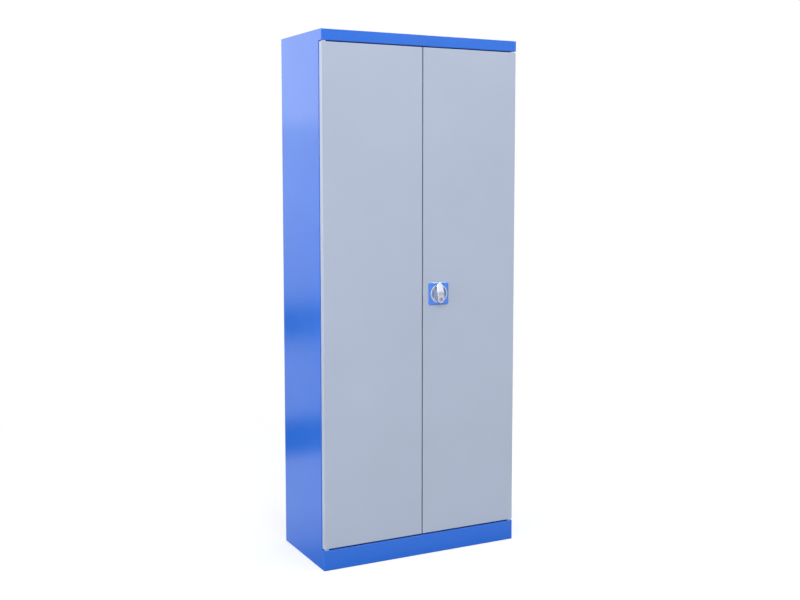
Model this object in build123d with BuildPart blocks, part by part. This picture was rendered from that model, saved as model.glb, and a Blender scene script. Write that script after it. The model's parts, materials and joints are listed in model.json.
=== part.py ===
"""Tall sheet-steel tool cabinet with two hinged doors and a three-point lock.

Millimetres, +Z up. X runs to the right seen from the front, Y runs to the back.
The origin is on the floor, in the middle of the cabinet's footprint, so the doors'
front plane is at Y = -DEPTH / 2. The cabinet stands closed, with its lock withdrawn.
"""

from build123d import *
from math import radians, sin
import os

# ---------------------------------------------------------------- driving dimensions
WIDTH = 800.0
DEPTH = 400.0
HEIGHT = 1950.0
SHEET = 1.0  # thickness of every folded panel
BEND = 3.0  # outer radius of the folds on the doors, the fascia and the plinth
TIGHT_BEND = 2.0  # outer radius of the carcass's folds
INNER_BEVEL = 1.2  # inside the folds, where it keeps the sheet's thickness

FRONT_DEPTH = 26.0  # the fascia and the plinth stand this far before the carcass
FASCIA_HEIGHT = 40.0
PLINTH_HEIGHT = 76.0
HEADER_DROP = 65.0  # the roof's front flange, which the doors close against
FLANGE_WIDTH = 27.0  # inward front flange of each side panel
FLANGE_RETURN = 14.0
BACK_FLANGE = 20.0
BASE_LIP = 16.0

DOOR_THICKNESS = 21.0
DOOR_SIDE_INSET = 1.0
DOOR_CENTRE_GAP = 4.0
DOOR_TOP_GAP = 4.0
DOOR_BOTTOM_GAP = 5.0
DOOR_LIP = 12.0

HINGE_INSET = 12.0  # hinge axis from the cabinet's side
HINGE_BEHIND_FRONT = 10.0
PIN_RADIUS = 4.0
PIN_CLEARANCE = 0.05
PIN_ENGAGEMENT = 13.0
PIN_HOLE_SIDE = 9.0  # square hole in the fascia's and the plinth's sheet, round each pin
BUSH_SIDE = 11.0
BUSH_FLANGE_SIDE = 13.0
BUSH_END_PLAY = 0.2  # between a bush's flange and the plinth or fascia

SHELF_COUNT = 4
SHELF_FIRST_SLOT = 3  # rail slot that carries the lowest shelf
SHELF_SLOT_STEP = 4
SHELF_HALF_WIDTH = 385.5
SHELF_FRONT = -155.0
SHELF_BACK = 190.0
SHELF_EDGE = 30.0
SHELF_LIP = 12.0

RAIL_WIDTH = 30.0
RAIL_DEPTH = 12.0
RAIL_FOOT = 80.0
RAIL_TOP = 1880.0
RAIL_FRONT_Y = -120.0
RAIL_BACK_Y = 155.0
SLOT_PITCH = 90.0
SLOT_COUNT = 19
SLOT_FIRST_Z = 150.0
SLOT_WIDTH = 15.0
SLOT_HEIGHT = 5.0

CLIP_SHEET = 1.2
CLIP_WIDTH = 13.0
CLIP_RISE = 6.0  # the clip's ledge stands this far above its slot
CLIP_LEDGE = 11.0
CLIP_HOOK = 6.0

HANDLE_X = 66.0
HANDLE_Z = 997.0
PLATE_SIZE = 85.0
PLATE_CORNER = 9.0
PLATE_THICKNESS = 4.0
PLATE_BEVEL = 2.0
BOWL_LIP_RADIUS = 35.0
BOWL_WALL_RADIUS = 32.5
BOWL_LIP_FRONT = 205.8  # distances named _FRONT and _BACK here are -Y
BOWL_FLOOR_FRONT = 194.2
BOWL_FLOOR_BACK = 192.2
NECK_RADIUS = 8.0
GRIP_WIDTH = 27.0
GRIP_TOP = 42.0  # above the handle's axis
GRIP_BOTTOM = 34.5  # below it, so that this round end and the lock have one centre
GRIP_SLOPE_START = 4.0  # above the axis, from where the front slopes back to the top
GRIP_TIP = 4.0  # thickness left at the top
GRIP_FRONT = 224.0
GRIP_BACK = 206.4
BARREL_DROP = 21.0  # the lock stands this far below the handle's axis
BARREL_RADIUS = 9.0
BARREL_DEPTH = 14.0
PLUG_RADIUS = 5.5

CAM_RADIUS = 16.0  # from the handle's axis to each cam pin
CAM_PIN_RADIUS = 3.0
CAM_PIN_CLEARANCE = 0.7  # above and below each pin, in its slot
CAM_BACK = 185.8
CAM_THICKNESS = 2.4
SPINDLE_SIDE = 7.0
ROD_WIDTH = 18.0
ROD_THICKNESS = 3.0
ROD_FRONT = 185.2
ROD_TIP_TAPER = 4.0
ROD_REST_MARGIN = 0.5  # a withdrawn rod's end stops this far inside the door's edge
BOLT_HEIGHT = 14.0
BOLT_THICKNESS = 2.4
BOLT_FRONT = 191.2
GUIDE_CLEARANCE = 0.4

# ------------------------------------------------------------------- worked-out places
HALF_WIDTH = WIDTH / 2
FRONT = -DEPTH / 2
BACK = DEPTH / 2
CARCASS_FRONT = FRONT + FRONT_DEPTH
INNER_HALF_WIDTH = HALF_WIDTH - SHEET
BACK_INNER = BACK - 2 * SHEET
FASCIA_BOTTOM = HEIGHT - FASCIA_HEIGHT
HEADER_BOTTOM = HEIGHT - HEADER_DROP

DOOR_BOTTOM = PLINTH_HEIGHT + DOOR_BOTTOM_GAP
DOOR_TOP = FASCIA_BOTTOM - DOOR_TOP_GAP
DOOR_HEIGHT = DOOR_TOP - DOOR_BOTTOM
DOOR_OUTER = HALF_WIDTH - DOOR_SIDE_INSET
DOOR_INNER = DOOR_CENTRE_GAP / 2
DOOR_WIDTH = DOOR_OUTER - DOOR_INNER
DOOR_BACK = FRONT + DOOR_THICKNESS
HINGE_X = HALF_WIDTH - HINGE_INSET
HINGE_Y = FRONT + HINGE_BEHIND_FRONT

RAIL_FACE = INNER_HALF_WIDTH - RAIL_DEPTH
SLOT_LAST_Z = SLOT_FIRST_Z + (SLOT_COUNT - 1) * SLOT_PITCH
SHELF_SLOTS = [
    SLOT_FIRST_Z + (SHELF_FIRST_SLOT + SHELF_SLOT_STEP * n) * SLOT_PITCH for n in range(SHELF_COUNT)
]

# Each cam pin swings a quarter turn about the handle, evenly to both sides of the line
# that is square to its bar, so the bar moves by the pin's chord.
CAM_PIN_OFFSET = CAM_RADIUS * sin(radians(45))
CAM_PIN_SWAY = CAM_RADIUS - CAM_PIN_OFFSET
CAM_PIN_MIDDLE = (CAM_RADIUS + CAM_PIN_OFFSET) / 2
ROD_TRAVEL = 2 * CAM_PIN_OFFSET
TOP_ROD_X = HANDLE_X - CAM_PIN_MIDDLE
BOTTOM_ROD_X = HANDLE_X + CAM_PIN_MIDDLE
BOLT_Z = HANDLE_Z - CAM_PIN_MIDDLE
CAM_SLOT_LENGTH = CAM_PIN_SWAY + 2 * (CAM_PIN_RADIUS + CAM_PIN_CLEARANCE)
CAM_SLOT_WIDTH = 2 * (CAM_PIN_RADIUS + CAM_PIN_CLEARANCE)

ROD_Y = -(ROD_FRONT - ROD_THICKNESS / 2)
BOLT_Y = -(BOLT_FRONT - BOLT_THICKNESS / 2)
ROD_HOLE = (20.0, 5.0)  # in the door's ends, the fascia, the plinth and the strikes
BOLT_HOLE = (4.8, 17.0)  # in the doors' meeting edges and the keeper

pieces = {}


def handle_plane(distance):
    """Plane square to the handle's axis, facing forwards, at Y = -distance."""
    return Plane((HANDLE_X, -distance, HANDLE_Z), x_dir=(1, 0, 0), z_dir=(0, -1, 0))


def folded_section(plane, points, radius=None):
    """Section of one folded sheet: its outer line, thickened to the line's right."""
    with BuildSketch(plane) as section:
        with BuildLine():
            if radius:
                FilletPolyline(*points, radius=radius)
            else:
                Polyline(*points)
            offset(amount=SHEET, side=Side.RIGHT, kind=Kind.INTERSECTION)
        make_face()
    return section.sketch


def front_pan(width, depth, height, middle, back_wall):
    """Hollow box of sheet, whose front folds are rounded. A back_wall of 0 leaves it open."""
    with BuildPart() as hollow:
        with Locations(middle + Vector(0, (SHEET - back_wall) / 2, 0)):
            Box(width - 2 * SHEET, depth - SHEET - back_wall, height - 2 * SHEET)
        chamfer(hollow.faces().sort_by(Axis.Y)[0].edges(), length=INNER_BEVEL)
    with BuildPart() as pan:
        with Locations(middle):
            Box(width, depth, height)
        fillet(pan.faces().sort_by(Axis.Y)[0].edges(), radius=BEND)
        add(hollow.part, mode=Mode.SUBTRACT)
    return pan


# ------------------------------------------------------------------------ side panels
flanged_plan = [
    (-HALF_WIDTH + FLANGE_WIDTH, CARCASS_FRONT + FLANGE_RETURN),
    (-HALF_WIDTH + FLANGE_WIDTH, CARCASS_FRONT),
    (-HALF_WIDTH, CARCASS_FRONT),
    (-HALF_WIDTH, BACK),
    (-HALF_WIDTH + BACK_FLANGE, BACK),
]
plain_plan = [(-HALF_WIDTH, CARCASS_FRONT), *flanged_plan[3:]]

with BuildPart() as side_left:
    for foot, top, plan in (
        (0, PLINTH_HEIGHT, plain_plan),
        (PLINTH_HEIGHT, HEADER_BOTTOM, flanged_plan),
        (HEADER_BOTTOM, HEIGHT, plain_plan),
    ):
        extrude(folded_section(Plane.XY.offset(foot), plan, TIGHT_BEND), amount=top - foot)
pieces["side_left"] = side_left

with BuildPart() as side_right:
    mirror(side_left.part, about=Plane.YZ)
pieces["side_right"] = side_right

# ------------------------------------------------- back panel, with its wall anchors
ANCHOR_SPACING = 600.0
ANCHOR_RADIUS = 4.5
ANCHOR_Z = 1880.0

with BuildPart() as back_panel:
    with BuildSketch(Plane.XZ.offset(-BACK + SHEET)):
        with Locations((0, HEIGHT / 2)):
            Rectangle(2 * (INNER_HALF_WIDTH - SHEET), HEIGHT)
        with Locations((0, ANCHOR_Z)):
            with GridLocations(ANCHOR_SPACING, 0, 2, 1):
                Circle(ANCHOR_RADIUS, mode=Mode.SUBTRACT)
    extrude(amount=SHEET)
pieces["back_panel"] = back_panel

# --------------------------------------------------------------------- roof and header
ROOF_FLANGE = 20.0
CARCASS_MIDDLE_Y = (CARCASS_FRONT + BACK_INNER) / 2
CARCASS_DEPTH = BACK_INNER - CARCASS_FRONT

with BuildPart() as roof_panel:
    with Locations((0, CARCASS_MIDDLE_Y, HEIGHT)):
        Box(
            2 * INNER_HALF_WIDTH,
            CARCASS_DEPTH,
            HEADER_DROP,
            align=(Align.CENTER, Align.CENTER, Align.MAX),
        )
    fillet(roof_panel.faces().sort_by(Axis.Z)[-1].edges(), radius=TIGHT_BEND)
    offset(amount=-SHEET, openings=roof_panel.faces().sort_by(Axis.Z)[0])
    with BuildSketch(Plane.XY.offset(HEADER_BOTTOM)):
        with Locations((0, CARCASS_MIDDLE_Y + FLANGE_RETURN)):
            Rectangle(WIDTH, CARCASS_DEPTH)
    extrude(amount=HEADER_DROP - ROOF_FLANGE, mode=Mode.SUBTRACT)
    with Locations((0, CARCASS_FRONT, HEADER_BOTTOM)):
        Box(
            2 * INNER_HALF_WIDTH,
            FLANGE_RETURN,
            SHEET,
            align=(Align.CENTER, Align.MIN, Align.MIN),
        )
pieces["roof_panel"] = roof_panel

# ----------------------------------------------------- floor of the cabinet, a low tray
with BuildPart() as base_tray:
    with Locations((0, CARCASS_MIDDLE_Y, PLINTH_HEIGHT / 2)):
        Box(2 * INNER_HALF_WIDTH, CARCASS_DEPTH, PLINTH_HEIGHT)
    fillet(base_tray.faces().sort_by(Axis.Z)[-1].edges(), radius=TIGHT_BEND)
    offset(amount=-SHEET, openings=base_tray.faces().sort_by(Axis.Z)[0])
    with BuildSketch():
        with Locations((0, CARCASS_MIDDLE_Y)):
            Rectangle(2 * INNER_HALF_WIDTH, CARCASS_DEPTH)
            Rectangle(
                2 * (INNER_HALF_WIDTH - BASE_LIP),
                CARCASS_DEPTH - 2 * BASE_LIP,
                mode=Mode.SUBTRACT,
            )
    extrude(amount=SHEET)
pieces["base_tray"] = base_tray


# ------------------------------------------------------------ fascia and plinth, boxes
def front_box(foot, height, door_side, rod_x):
    """Box folded from one sheet, open at the back, with the doors' pins in door_side."""
    middle = Vector(0, FRONT + FRONT_DEPTH / 2, foot + height / 2)
    with BuildPart() as box:
        add(front_pan(WIDTH, FRONT_DEPTH, height, middle, back_wall=0).part)
        with Locations((0, HINGE_Y, door_side)):
            with GridLocations(2 * HINGE_X, 0, 2, 1):
                Box(PIN_HOLE_SIDE, PIN_HOLE_SIDE, 4 * SHEET, mode=Mode.SUBTRACT)
        with Locations((rod_x, ROD_Y, door_side)):
            Box(*ROD_HOLE, 4 * SHEET, mode=Mode.SUBTRACT)
    return box


pieces["roof_fascia"] = front_box(FASCIA_BOTTOM, FASCIA_HEIGHT, FASCIA_BOTTOM, TOP_ROD_X)
pieces["plinth"] = front_box(0, PLINTH_HEIGHT, PLINTH_HEIGHT, BOTTOM_ROD_X)


# ----------------------------------------------------- shelf rails, slotted all the way
def shelf_rail(side, middle_y):
    """Channel welded to a side panel; side is -1 on the left and 1 on the right."""
    half = RAIL_WIDTH / 2
    channel_plan = [
        (-INNER_HALF_WIDTH, middle_y + half),
        (-RAIL_FACE, middle_y + half),
        (-RAIL_FACE, middle_y - half),
        (-INNER_HALF_WIDTH, middle_y - half),
    ]
    with BuildPart() as rail:
        channel = folded_section(Plane.XY.offset(RAIL_FOOT), channel_plan)
        extrude(channel, amount=RAIL_TOP - RAIL_FOOT)
        with BuildSketch(Plane.YZ.offset(-RAIL_FACE)):
            with Locations((middle_y, (SLOT_FIRST_Z + SLOT_LAST_Z) / 2)):
                with GridLocations(0, SLOT_PITCH, 1, SLOT_COUNT):
                    Rectangle(SLOT_WIDTH, SLOT_HEIGHT)
        extrude(amount=-2 * SHEET, mode=Mode.SUBTRACT)
    if side < 0:
        return rail
    with BuildPart() as mirrored:
        mirror(rail.part, about=Plane.YZ)
    return mirrored


for hand, side in (("left", -1), ("right", 1)):
    for end, middle_y in (("front", RAIL_FRONT_Y), ("rear", RAIL_BACK_Y)):
        pieces[f"shelf_rail_{end}_{hand}"] = shelf_rail(side, middle_y)


# ------------------------------------------------------------- shelves and their clips
def shelf(top):
    """Shelf folded down on four sides, with a safe edge under its front and back."""
    with BuildPart() as board:
        with Locations((0, (SHELF_FRONT + SHELF_BACK) / 2, top - SHELF_EDGE / 2)):
            Box(2 * SHELF_HALF_WIDTH, SHELF_BACK - SHELF_FRONT, SHELF_EDGE)
        long_folds = board.faces().sort_by(Axis.Z)[-1].edges().filter_by(Axis.X)
        fillet(long_folds, radius=TIGHT_BEND)
        offset(amount=-SHEET, openings=board.faces().sort_by(Axis.Z)[0])
        for edge_y in (SHELF_FRONT + SHELF_LIP / 2, SHELF_BACK - SHELF_LIP / 2):
            with Locations((0, edge_y, top - SHELF_EDGE + SHEET / 2)):
                Box(2 * SHELF_HALF_WIDTH, SHELF_LIP, SHEET)
    return board


def shelf_clips(slot_z):
    """Four bent clips, hooked in the rails' slots, whose ledges carry one shelf."""
    half = CLIP_SHEET / 2
    plate_x = -RAIL_FACE + half
    hook_x = -RAIL_FACE - SHEET - half - 0.1
    ledge_z = slot_z + CLIP_RISE - half
    with BuildPart() as clips:
        for middle_y in (RAIL_FRONT_Y, RAIL_BACK_Y):
            with BuildSketch(Plane.XZ.offset(-middle_y - CLIP_WIDTH / 2)):
                with BuildLine():
                    Polyline(
                        (hook_x, slot_z - CLIP_HOOK),
                        (hook_x, slot_z),
                        (plate_x, slot_z),
                        (plate_x, ledge_z),
                        (plate_x + CLIP_LEDGE, ledge_z),
                    )
                trace(line_width=CLIP_SHEET)
            extrude(amount=CLIP_WIDTH)
        mirror(about=Plane.YZ)
    return clips


for number, slot_z in enumerate(SHELF_SLOTS, start=1):
    pieces[f"shelf_{number}"] = shelf(slot_z + CLIP_RISE + SHELF_EDGE)
    pieces[f"shelf_clips_{number}"] = shelf_clips(slot_z)

# ------------------------------------------------------- hinge pins and their plates
PLATE_LENGTH = 40.0
PLATE_DEPTH = 20.0
PLATE_GAUGE = 3.0
PLATE_SIDE_MARGIN = 3.5
hinge_plate_x = HALF_WIDTH - PLATE_SIDE_MARGIN - PLATE_LENGTH / 2
hinge_plate_y = FRONT + PLATE_SIDE_MARGIN + PLATE_DEPTH / 2
plinth_plate_top = PLINTH_HEIGHT - SHEET
fascia_plate_bottom = FASCIA_BOTTOM + SHEET

with BuildPart() as hinge_plates:
    for middle_z in (plinth_plate_top - PLATE_GAUGE / 2, fascia_plate_bottom + PLATE_GAUGE / 2):
        with Locations((0, hinge_plate_y, middle_z)):
            with GridLocations(2 * hinge_plate_x, 0, 2, 1):
                Box(PLATE_LENGTH, PLATE_DEPTH, PLATE_GAUGE)
pieces["hinge_plates"] = hinge_plates

with BuildPart() as hinge_pins:
    for plate_face, tip_z in (
        (plinth_plate_top, DOOR_BOTTOM + PIN_ENGAGEMENT),
        (fascia_plate_bottom, DOOR_TOP - PIN_ENGAGEMENT),
    ):
        with BuildSketch(Plane.XY.offset(plate_face)):
            with Locations((0, HINGE_Y)):
                with GridLocations(2 * HINGE_X, 0, 2, 1):
                    Circle(PIN_RADIUS)
        extrude(amount=tip_z - plate_face)
pieces["hinge_pins"] = hinge_pins

# ------------------------------------------------------------ rubber buffers, on header
BUFFER_X = 60.0
BUFFER_RADIUS = 5.0
BUFFER_Z = DOOR_TOP - DOOR_LIP / 2 - 1.0
BUFFER_LENGTH = CARCASS_FRONT - DOOR_BACK - 0.2

with BuildPart() as door_buffers:
    with BuildSketch(Plane.XZ.offset(-CARCASS_FRONT)):
        with Locations((-BUFFER_X, BUFFER_Z), (BUFFER_X, BUFFER_Z)):
            Circle(BUFFER_RADIUS)
    extrude(amount=BUFFER_LENGTH)
pieces["door_buffers"] = door_buffers

# --------------------------------------------------- strikes for the top and bottom rods
STRIKE_LENGTH = 44.0


def strike(rod_x, middle_z):
    """Plate welded inside the fascia or plinth round the hole that takes a rod's end."""
    with BuildPart() as plate:
        with Locations((rod_x, hinge_plate_y, middle_z)):
            Box(STRIKE_LENGTH, PLATE_DEPTH, PLATE_GAUGE)
        with Locations((rod_x, ROD_Y, middle_z)):
            Box(*ROD_HOLE, PLATE_GAUGE, mode=Mode.SUBTRACT)
    return plate


pieces["strike_top"] = strike(TOP_ROD_X, fascia_plate_bottom + PLATE_GAUGE / 2)
pieces["strike_bottom"] = strike(BOTTOM_ROD_X, plinth_plate_top - PLATE_GAUGE / 2)

# ---------------------------------------------------------------------------- the doors
DOOR_MIDDLE_X = (DOOR_INNER + DOOR_OUTER) / 2
DOOR_MIDDLE_Y = FRONT + DOOR_THICKNESS / 2
DOOR_MIDDLE_Z = (DOOR_BOTTOM + DOOR_TOP) / 2

door_middle = Vector(DOOR_MIDDLE_X, DOOR_MIDDLE_Y, DOOR_MIDDLE_Z)

# The right door's shell. The left one is its mirror image, with no handle or rods.
with BuildPart() as door_shell:
    add(front_pan(DOOR_WIDTH, DOOR_THICKNESS, DOOR_HEIGHT, door_middle, back_wall=SHEET).part)
    with BuildSketch(Plane.XZ.offset(-DOOR_BACK)):
        with Locations((DOOR_MIDDLE_X, DOOR_MIDDLE_Z)):
            Rectangle(DOOR_WIDTH - 2 * DOOR_LIP, DOOR_HEIGHT - 2 * DOOR_LIP)
    extrude(amount=2 * SHEET, mode=Mode.SUBTRACT)
    with Locations((HINGE_X, HINGE_Y, DOOR_BOTTOM), (HINGE_X, HINGE_Y, DOOR_TOP)):
        Box(BUSH_SIDE, BUSH_SIDE, 4 * SHEET, mode=Mode.SUBTRACT)
    with Locations((DOOR_INNER, BOLT_Y, BOLT_Z)):
        Box(4 * SHEET, *BOLT_HOLE, mode=Mode.SUBTRACT)

with BuildPart() as door_left_panel:
    mirror(door_shell.part, about=Plane.YZ)
pieces["door_left_panel"] = door_left_panel

with BuildPart() as door_right_panel:
    add(door_shell.part)
    with Locations((TOP_ROD_X, ROD_Y, DOOR_TOP), (BOTTOM_ROD_X, ROD_Y, DOOR_BOTTOM)):
        Box(*ROD_HOLE, 4 * SHEET, mode=Mode.SUBTRACT)
    with BuildSketch(handle_plane(-FRONT - 2 * SHEET)):
        Circle(BOWL_WALL_RADIUS + 0.5)
    extrude(amount=3 * SHEET, mode=Mode.SUBTRACT)
pieces["door_right_panel"] = door_right_panel

# -------------------------------------------------- hat channel that stiffens each door
STIFFENER_X = 205.0
STIFFENER_TOP_WIDTH = 40.0
STIFFENER_BRIM = 14.0
STIFFENER_HEIGHT = 15.0
STIFFENER_END_GAP = 30.0

sheet_face = FRONT + SHEET
half_hat = STIFFENER_TOP_WIDTH / 2
hat_plan = [
    (STIFFENER_X - half_hat - STIFFENER_BRIM, sheet_face + SHEET),
    (STIFFENER_X - half_hat, sheet_face + SHEET),
    (STIFFENER_X - half_hat, sheet_face + STIFFENER_HEIGHT),
    (STIFFENER_X + half_hat, sheet_face + STIFFENER_HEIGHT),
    (STIFFENER_X + half_hat, sheet_face + SHEET),
    (STIFFENER_X + half_hat + STIFFENER_BRIM, sheet_face + SHEET),
]

with BuildPart() as door_right_stiffener:
    hat = folded_section(Plane.XY.offset(DOOR_BOTTOM + STIFFENER_END_GAP), hat_plan)
    extrude(hat, amount=DOOR_HEIGHT - 2 * STIFFENER_END_GAP)
pieces["door_right_stiffener"] = door_right_stiffener

with BuildPart() as door_left_stiffener:
    mirror(door_right_stiffener.part, about=Plane.YZ)
pieces["door_left_stiffener"] = door_left_stiffener

# ---------------------------- flanged bushes the doors turn on, one in each door's end
with BuildPart() as door_right_bushes:
    for door_end, rest, inward in (
        (DOOR_BOTTOM, PLINTH_HEIGHT + BUSH_END_PLAY, 1),
        (DOOR_TOP, FASCIA_BOTTOM - BUSH_END_PLAY, -1),
    ):
        sleeve_end = door_end + inward * (PIN_ENGAGEMENT + 1)
        with BuildSketch(Plane.XY.offset(rest)):
            with Locations((HINGE_X, HINGE_Y)):
                Rectangle(BUSH_SIDE, BUSH_SIDE)
        extrude(amount=sleeve_end - rest)
        with BuildSketch(Plane.XY.offset(rest)):
            with Locations((HINGE_X, HINGE_Y)):
                Rectangle(BUSH_FLANGE_SIDE, BUSH_FLANGE_SIDE)
        extrude(amount=door_end - rest)
        with BuildSketch(Plane.XY.offset(rest)):
            with Locations((HINGE_X, HINGE_Y)):
                Circle(PIN_RADIUS + PIN_CLEARANCE)
        extrude(amount=sleeve_end - rest, mode=Mode.SUBTRACT)
pieces["door_right_bushes"] = door_right_bushes

with BuildPart() as door_left_bushes:
    mirror(door_right_bushes.part, about=Plane.YZ)
pieces["door_left_bushes"] = door_left_bushes

# ---------------------------------------- keeper in the left door, for the side bolt
KEEPER_GAUGE = 3.0
KEEPER_DEPTH = 14.0
KEEPER_HEIGHT = 44.0

with BuildPart() as bolt_keeper:
    keeper_x = -DOOR_INNER - SHEET - KEEPER_GAUGE / 2
    with Locations((keeper_x, BOLT_Y, BOLT_Z)):
        Box(KEEPER_GAUGE, KEEPER_DEPTH, KEEPER_HEIGHT)
        Box(KEEPER_GAUGE, *BOLT_HOLE, mode=Mode.SUBTRACT)
pieces["bolt_keeper"] = bolt_keeper

# ------------------------------------------------------------- the handle's square plate
with BuildPart() as handle_plate:
    with BuildSketch(handle_plane(-FRONT)):
        RectangleRounded(PLATE_SIZE, PLATE_SIZE, PLATE_CORNER)
        Circle(BOWL_WALL_RADIUS + 0.1, mode=Mode.SUBTRACT)
    extrude(amount=PLATE_THICKNESS)
    outer_rim = handle_plate.faces().sort_by(Axis.Y)[0].outer_wire().edges()
    chamfer(outer_rim, length=PLATE_BEVEL)
pieces["handle_plate"] = handle_plate

# ---------------------------------------------------------- the bowl the grip turns in
BOWL_WALL = 2.0
LIP_BEVEL = 0.9
axis_section = Plane((HANDLE_X, 0, HANDLE_Z), x_dir=(1, 0, 0), z_dir=(0, 0, 1))
handle_axis = Axis((HANDLE_X, 0, HANDLE_Z), (0, 1, 0))
plate_front = PLATE_THICKNESS - FRONT

with BuildPart() as handle_bowl:
    with BuildSketch(axis_section) as bowl_section:
        with BuildLine():
            Polyline(
                (NECK_RADIUS + PIN_CLEARANCE, -BOWL_FLOOR_BACK),
                (BOWL_WALL_RADIUS, -BOWL_FLOOR_BACK),
                (BOWL_WALL_RADIUS, -plate_front),
                (BOWL_LIP_RADIUS, -plate_front),
                (BOWL_LIP_RADIUS, -BOWL_LIP_FRONT),
                (BOWL_WALL_RADIUS - BOWL_WALL, -BOWL_LIP_FRONT),
                (BOWL_WALL_RADIUS - BOWL_WALL, -BOWL_FLOOR_FRONT),
                (NECK_RADIUS + PIN_CLEARANCE, -BOWL_FLOOR_FRONT),
                close=True,
            )
        make_face()
        lip_corner = bowl_section.vertices().group_by(Axis.Y)[0].sort_by(Axis.X)[-1]
        chamfer(lip_corner, length=LIP_BEVEL)
    revolve(axis=handle_axis)
pieces["handle_bowl"] = handle_bowl

# --------------------------------------------------- ring nut behind the door's sheet
NUT_CORNER_RADIUS = 43.0
NUT_THICKNESS = 3.5

with BuildPart() as handle_ring_nut:
    with BuildSketch(handle_plane(-FRONT - SHEET - NUT_THICKNESS)):
        RegularPolygon(NUT_CORNER_RADIUS, 6, rotation=30)
        Circle(BOWL_WALL_RADIUS + 0.05, mode=Mode.SUBTRACT)
    extrude(amount=NUT_THICKNESS)
pieces["handle_ring_nut"] = handle_ring_nut

# -------------------------------------------------------------------------- the grip
GRIP_FOOT_LENGTH = 54.0
GRIP_FOOT_WIDTH = 21.0
GRIP_FOOT_BACK = 194.6
GRIP_EDGE = 1.8

with BuildPart() as handle_grip:
    with BuildSketch(handle_plane(GRIP_BACK)):
        with Locations((0, (GRIP_TOP - GRIP_BOTTOM) / 2)):
            SlotOverall(GRIP_TOP + GRIP_BOTTOM, GRIP_WIDTH, rotation=90)
    extrude(amount=GRIP_FRONT - GRIP_BACK)
    with BuildSketch(Plane.YZ.offset(HANDLE_X)):
        with BuildLine():
            Polyline(
                (-GRIP_FRONT, HANDLE_Z + GRIP_SLOPE_START),
                (-GRIP_BACK - GRIP_TIP, HANDLE_Z + GRIP_TOP),
                (-GRIP_FRONT, HANDLE_Z + GRIP_TOP),
                close=True,
            )
        make_face()
    extrude(amount=GRIP_WIDTH, both=True, mode=Mode.SUBTRACT)
    front_faces = handle_grip.faces().filter_by(lambda face: face.normal_at().Y < -0.5)
    chamfer(front_faces.edges().filter_by(Axis.X, reverse=True), length=GRIP_EDGE)
    with BuildSketch(handle_plane(GRIP_FOOT_BACK)):
        SlotOverall(GRIP_FOOT_LENGTH, GRIP_FOOT_WIDTH, rotation=90)
    extrude(amount=GRIP_BACK - GRIP_FOOT_BACK)
    with BuildSketch(handle_plane(BOWL_FLOOR_BACK)):
        Circle(NECK_RADIUS)
    extrude(amount=GRIP_FOOT_BACK - BOWL_FLOOR_BACK)
    with BuildSketch(handle_plane(BOWL_FLOOR_BACK)):
        Rectangle(SPINDLE_SIDE, SPINDLE_SIDE)
    extrude(amount=12.0, mode=Mode.SUBTRACT)
    with BuildSketch(handle_plane(GRIP_FRONT)):
        with Locations((0, -BARREL_DROP)):
            Circle(BARREL_RADIUS)
    extrude(amount=-BARREL_DEPTH, mode=Mode.SUBTRACT)
pieces["handle_grip"] = handle_grip

# --------------------------------------------------------------- the lock in the grip
LOCK_PROUD = 0.6
KEYWAY = (2.2, 7.5)
KEYWAY_DEPTH = 9.0

with BuildPart() as lock_barrel:
    with BuildSketch(handle_plane(GRIP_FRONT - BARREL_DEPTH)):
        with Locations((0, -BARREL_DROP)):
            Circle(BARREL_RADIUS)
            Circle(PLUG_RADIUS + PIN_CLEARANCE, mode=Mode.SUBTRACT)
    extrude(amount=BARREL_DEPTH + LOCK_PROUD)
pieces["lock_barrel"] = lock_barrel

with BuildPart() as lock_plug:
    with BuildSketch(handle_plane(GRIP_FRONT - BARREL_DEPTH)):
        with Locations((0, -BARREL_DROP)):
            Circle(PLUG_RADIUS)
    extrude(amount=BARREL_DEPTH + LOCK_PROUD)
    with BuildSketch(handle_plane(GRIP_FRONT + LOCK_PROUD)):
        with Locations((0, -BARREL_DROP)):
            Rectangle(*KEYWAY)
    extrude(amount=-KEYWAY_DEPTH, mode=Mode.SUBTRACT)
pieces["lock_plug"] = lock_plug

# -------------------------------------------- spindle, cam plate and the three cam pins
SCREW_CORNER_RADIUS = 4.3
SCREW_HEAD_HEIGHT = 2.8
CAM_BOSS = 7.0
CAM_FRONT = CAM_BACK + CAM_THICKNESS

with BuildPart() as drive_spindle:
    with BuildSketch(handle_plane(CAM_BACK)):
        Rectangle(SPINDLE_SIDE, SPINDLE_SIDE)
    extrude(amount=BOWL_FLOOR_BACK + 12.0 - CAM_BACK)
pieces["drive_spindle"] = drive_spindle

pin_spots = [(-CAM_PIN_OFFSET, -CAM_PIN_OFFSET), (CAM_PIN_OFFSET, CAM_PIN_OFFSET), (CAM_PIN_OFFSET, -CAM_PIN_OFFSET)]

with BuildPart() as cam_plate:
    with BuildSketch(handle_plane(CAM_BACK)):
        with Locations(*pin_spots):
            RegularPolygon(CAM_BOSS, 8, rotation=22.5)
        make_hull()
        Rectangle(SPINDLE_SIDE, SPINDLE_SIDE, mode=Mode.SUBTRACT)
    extrude(amount=CAM_THICKNESS)
pieces["cam_plate"] = cam_plate

with BuildPart() as cam_pins:
    with BuildSketch(handle_plane(ROD_FRONT - ROD_THICKNESS - 0.4)):
        with Locations(*pin_spots[:2]):
            Circle(CAM_PIN_RADIUS)
    extrude(amount=CAM_BACK - ROD_FRONT + ROD_THICKNESS + 0.4)
    with BuildSketch(handle_plane(CAM_FRONT)):
        with Locations(pin_spots[2]):
            Circle(CAM_PIN_RADIUS)
    extrude(amount=BOLT_FRONT + 0.2 - CAM_FRONT)
pieces["cam_pins"] = cam_pins

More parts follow.
